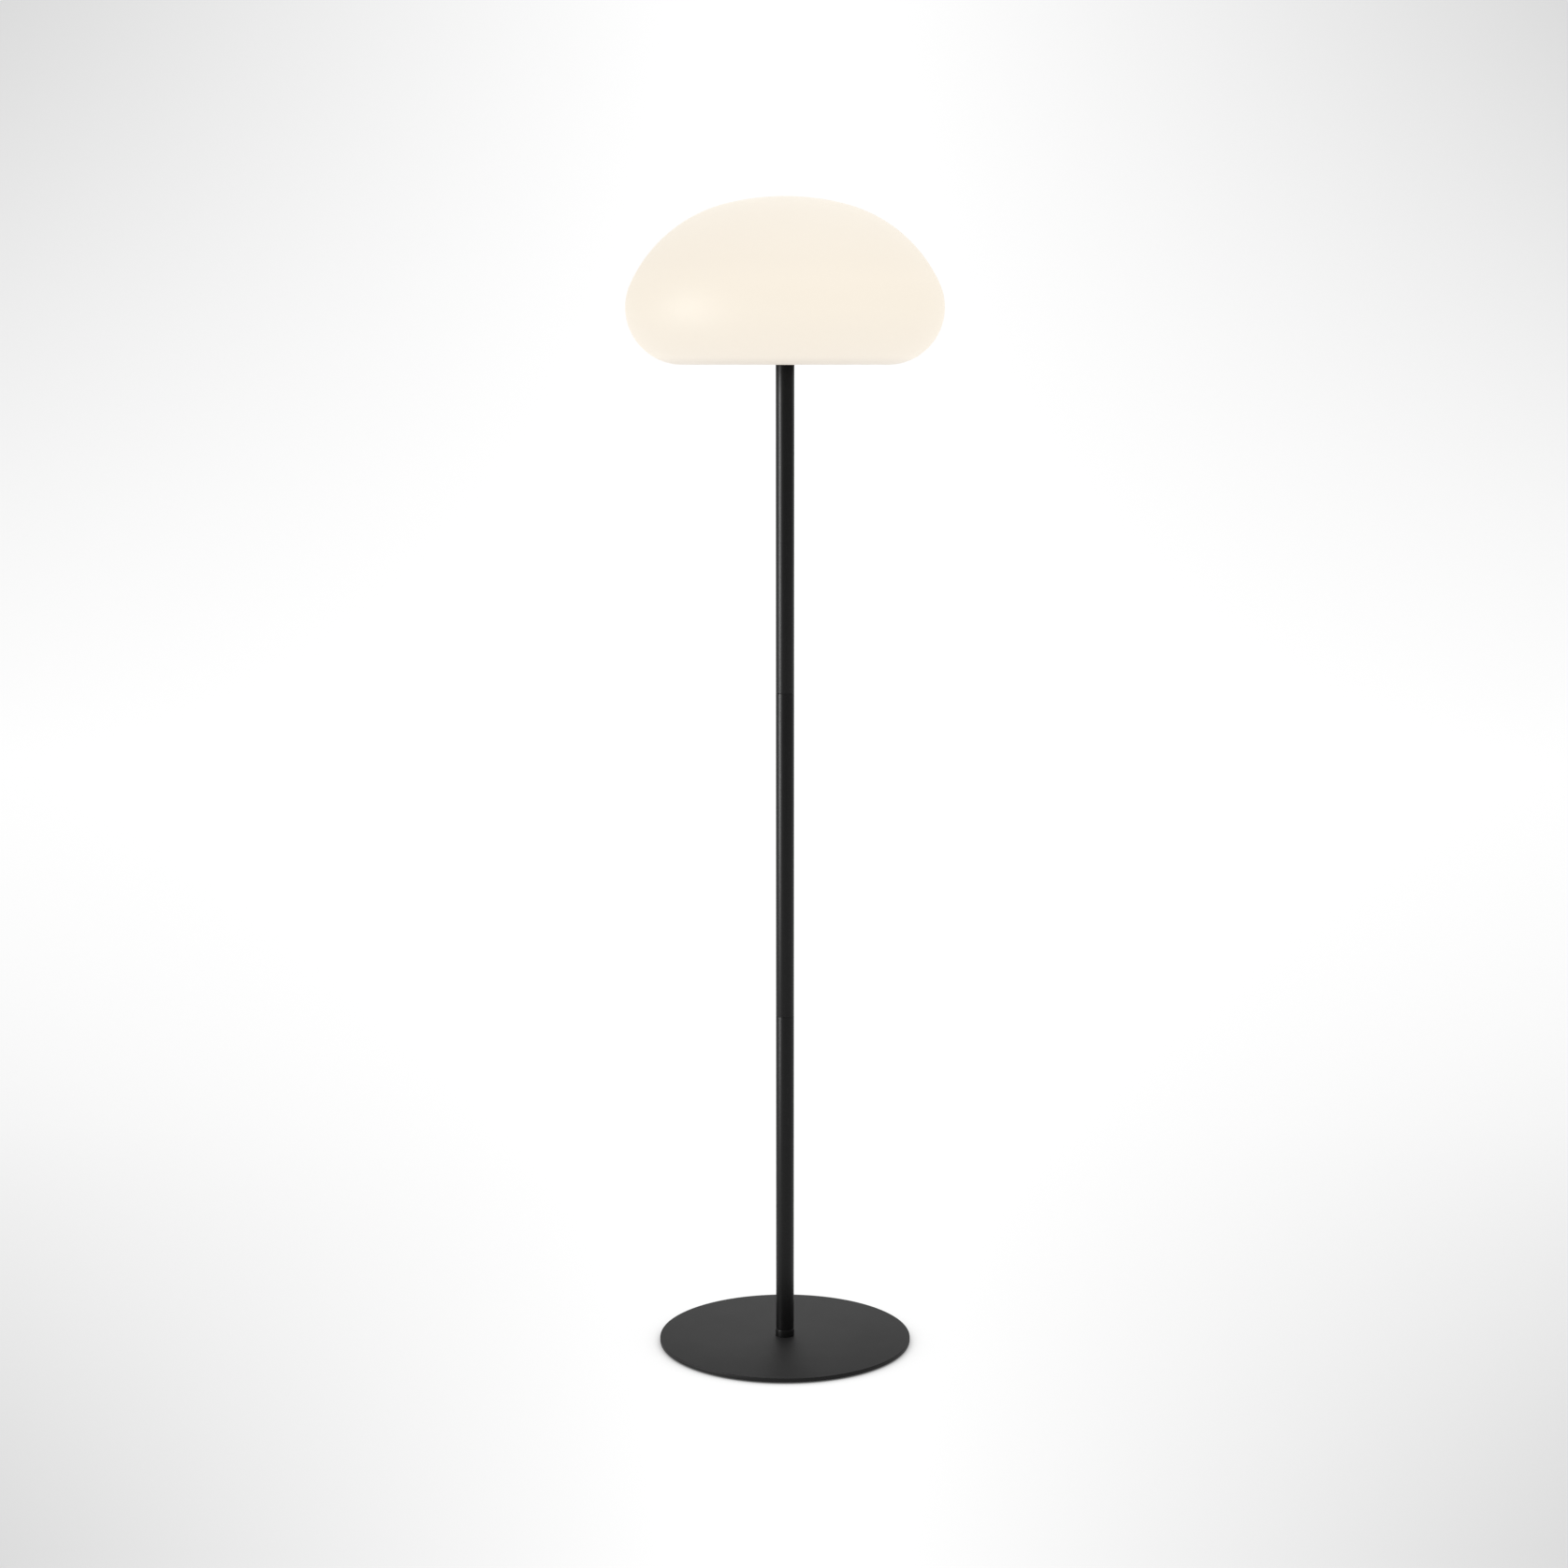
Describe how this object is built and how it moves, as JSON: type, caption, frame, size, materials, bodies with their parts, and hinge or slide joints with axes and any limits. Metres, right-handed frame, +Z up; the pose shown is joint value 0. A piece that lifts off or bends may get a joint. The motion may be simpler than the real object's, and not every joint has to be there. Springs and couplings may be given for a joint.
{
  "type": "cordless mushroom floor lamp",
  "caption": "Cordless floor lamp: flat round base, slim screwed pole and a wide domed opal shade closed from below by a sealed light module with button and charging port.",
  "frame": {"origin": "centre of the floor contact, on the lamp's axis", "axes": "+Z up along the pole, -Y towards the viewer of the front, where the push button sits, +X to the viewer's right"},
  "size_m": [0.34, 0.3398, 1.26],
  "materials": {
    "black_coat": "fine satin powder coat",
    "pad_rubber": "matt",
    "steel": "zinc plated",
    "opal_shade": "satin opal",
    "seal_rubber": "matt",
    "black_plastic": "fine grain",
    "aluminium": "turned",
    "circuit": "solder mask",
    "light_circuit": "white solder mask",
    "light_chip": "phosphor",
    "frosted": "frosted",
    "cell_sleeve": "shrink sleeve",
    "nickel": "nickel",
    "wire": "insulated wire",
    "button_plastic": "satin",
    "contact": "plated",
    "cover_rubber": "matt"
  },
  "bodies": {
    "lamp": {"base_plate": "black_coat", "foot_collar": "black_coat", "pole_lower": "black_coat", "pole_middle": "black_coat", "pole_upper": "black_coat", "foot_pads": "pad_rubber", "base_screw": "steel", "pole_bush_lower": "steel", "pole_bush_middle": "steel", "pole_bush_upper": "steel", "pole_stud_lower": "steel", "pole_stud_middle": "steel", "pole_stud_upper": "steel", "clamp_screws": "steel", "socket_screws": "steel", "cover_screws": "steel", "board_screws": "steel", "charge_socket": "steel", "shade": "opal_shade", "shade_gasket": "seal_rubber", "module_seal": "seal_rubber", "clamp_ring": "black_plastic", "module_housing": "black_plastic", "battery_cradles": "black_plastic", "tact_switch": "black_plastic", "port_frame": "black_plastic", "led_terminal": "black_plastic", "board_parts": "black_plastic", "pole_socket": "aluminium", "heat_spreader": "aluminium", "driver_board": "circuit", "led_board": "light_circuit", "led_chips": "light_chip", "diffuser": "frosted", "indicator_ring": "frosted", "battery_cells": "cell_sleeve", "battery_strips": "nickel", "led_leads": "wire", "charge_contacts": "contact", "port_cover_anchor": "cover_rubber"},
    "button": {"push_button": "button_plastic", "switch_plunger": "button_plastic"},
    "cover": {"port_cover": "cover_rubber"}
  },
  "joints": [
    {"name": "button_press", "type": "slide", "parent": "lamp", "child": "button", "axis": [0, 0, 1], "range_m": [0, 0.0008], "stiffness_N_per_m": 400, "springref_m": -0.002},
    {"name": "port_cover_open", "type": "hinge", "parent": "lamp", "child": "cover", "pos_m": [-0.0085, 0.03114, 1.0841], "axis": [0, 1, 0], "range_deg": [0, 100]}
  ]
}
